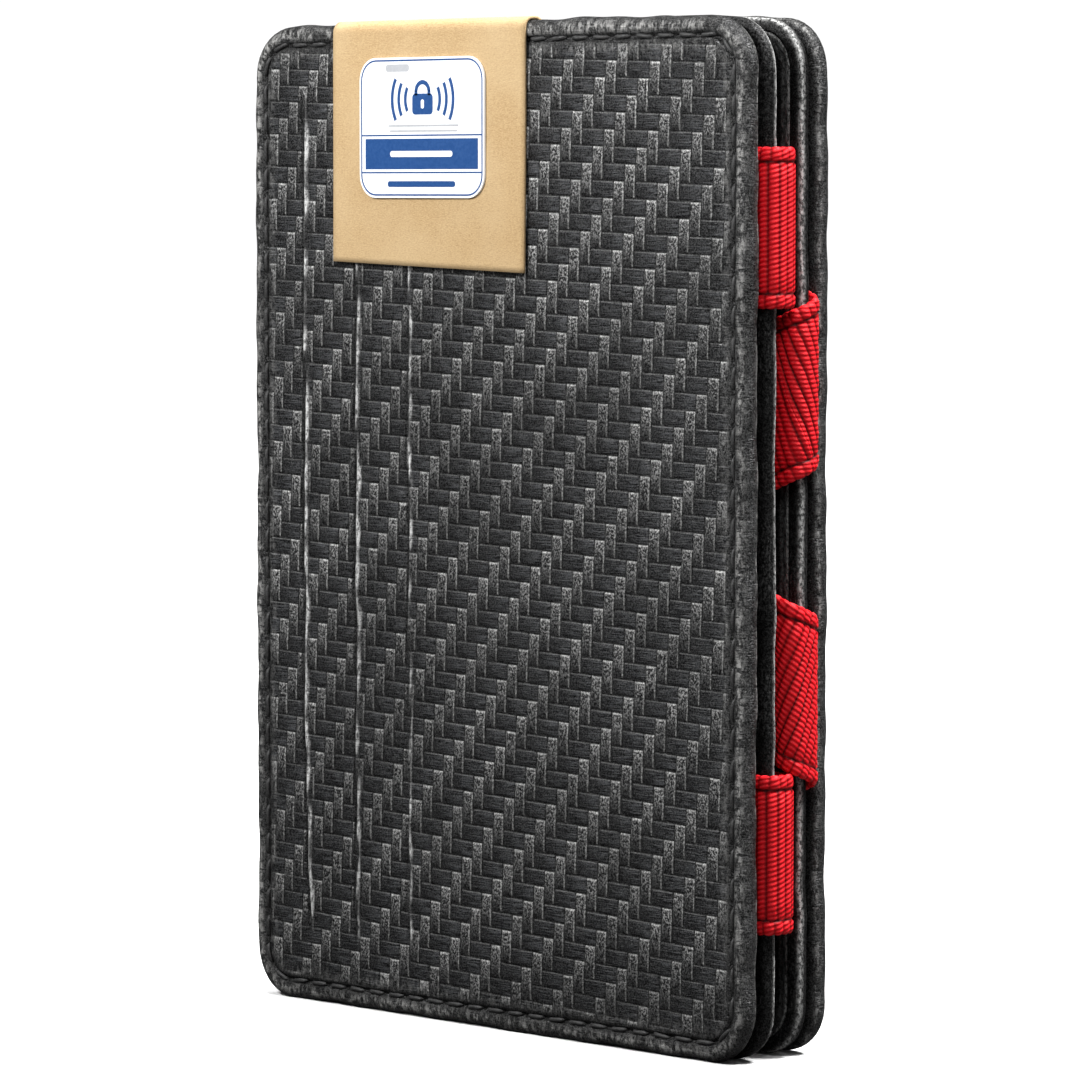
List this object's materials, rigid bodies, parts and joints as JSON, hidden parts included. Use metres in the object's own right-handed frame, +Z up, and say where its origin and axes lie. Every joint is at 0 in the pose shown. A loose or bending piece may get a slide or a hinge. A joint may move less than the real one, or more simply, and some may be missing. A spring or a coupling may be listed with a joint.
{
  "type": "flip wallet",
  "caption": "Slim flip wallet: two hinged leather halves joined by crossed and straight elastic bands that let it open from either side, with card slots inside the covers.",
  "frame": {"origin": "middle of the bottom edge that the wallet stands on, in the plane between its two halves", "axes": "+X to the right seen from the front cover, +Y from the front cover to the back cover, +Z up the height"},
  "size_m": [0.0747, 0.0131, 0.1054],
  "materials": {
    "cover_leather": "carbon-fibre embossed black leather",
    "smooth_leather": "smooth black leather",
    "lining_leather": "thin matt black leather",
    "board": "stiff card board",
    "foil": "shielding foil",
    "thread": "black polyester thread",
    "red_elastic": "red ribbed elastic band",
    "kraft_card": "brown kraft card",
    "label": "white sticker with blue bars"
  },
  "bodies": {
    "back_board": {"back_board_leather": "smooth_leather", "back_board_core": "board", "back_inner_panel": "smooth_leather", "back_board_stitching": "thread", "back_gutter_hinge": "smooth_leather", "lower_straight_band_tail": "red_elastic", "upper_straight_band_tail": "red_elastic", "rising_cross_band_wrap": "red_elastic", "falling_cross_band_wrap": "red_elastic"},
    "cross_bands": {"rising_cross_band": "red_elastic", "falling_cross_band": "red_elastic"},
    "front_board": {"front_board_leather": "smooth_leather", "front_board_core": "board", "front_inner_panel": "smooth_leather", "front_board_stitching": "thread", "front_gutter_hinge": "smooth_leather", "rising_cross_band_tail": "red_elastic", "falling_cross_band_tail": "red_elastic"},
    "straight_bands": {"lower_straight_band": "red_elastic", "upper_straight_band": "red_elastic"},
    "straight_band_ends": {"lower_straight_band_wrap": "red_elastic", "upper_straight_band_wrap": "red_elastic"},
    "front_cover": {"front_cover_leather": "cover_leather", "front_cover_stitching": "thread", "front_cover_stiffener": "board", "front_rfid_foil": "foil", "front_cover_lining": "lining_leather", "front_card_slot_1": "lining_leather", "front_card_slot_2": "lining_leather", "front_card_slot_3": "lining_leather"},
    "back_cover": {"back_cover_leather": "cover_leather", "back_cover_stitching": "thread", "back_cover_stiffener": "board", "back_rfid_foil": "foil", "back_cover_lining": "lining_leather", "back_card_slot_1": "lining_leather", "back_card_slot_2": "lining_leather", "back_card_slot_3": "lining_leather"},
    "paper_tag": {"kraft_tag": "kraft_card", "tag_label": "label"}
  },
  "joints": [
    {"name": "open_right", "type": "hinge", "parent": "back_board", "child": "cross_bands", "pos_m": [0.03785, 0, 0.0525], "axis": [0, 0, 1], "range_deg": [0, 179], "deforming": ["rising_cross_band_wrap", "falling_cross_band_wrap"]},
    {"name": "open_left", "type": "hinge", "parent": "cross_bands", "child": "front_board", "pos_m": [-0.0371, 0, 0.0525], "axis": [0, 0, 1], "range_deg": [-179, 0], "deforming": ["rising_cross_band_tail", "falling_cross_band_tail"]},
    {"name": "straight_bands_follow", "type": "hinge", "parent": "back_board", "child": "straight_bands", "pos_m": [-0.0371, 0, 0.0525], "axis": [0, 0, 1], "range_deg": [-179, 0], "deforming": ["lower_straight_band_tail", "upper_straight_band_tail"]},
    {"name": "band_ends_follow", "type": "hinge", "parent": "straight_bands", "child": "straight_band_ends", "pos_m": [0.03785, 0, 0.0525], "axis": [0, 0, 1], "range_deg": [0, 179], "deforming": ["lower_straight_band_wrap", "upper_straight_band_wrap"]},
    {"name": "front_cover_hinge", "type": "hinge", "parent": "front_board", "child": "front_cover", "pos_m": [-0.0366, -0.00363, 0.0525], "axis": [0, 0, -1], "range_deg": [0, 170], "deforming": ["front_gutter_hinge"]},
    {"name": "back_cover_hinge", "type": "hinge", "parent": "back_board", "child": "back_cover", "pos_m": [-0.0366, 0.00363, 0.0525], "axis": [0, 0, 1], "range_deg": [0, 170], "deforming": ["back_gutter_hinge"]},
    {"name": "tag_lift", "type": "slide", "parent": "front_cover", "child": "paper_tag", "axis": [0, 0, 1], "range_m": [0, 0.03]}
  ],
  "couplings": [
    {"joint": "straight_bands_follow", "follows": "open_left", "ratio": 1},
    {"joint": "band_ends_follow", "follows": "open_right", "ratio": 1}
  ]
}
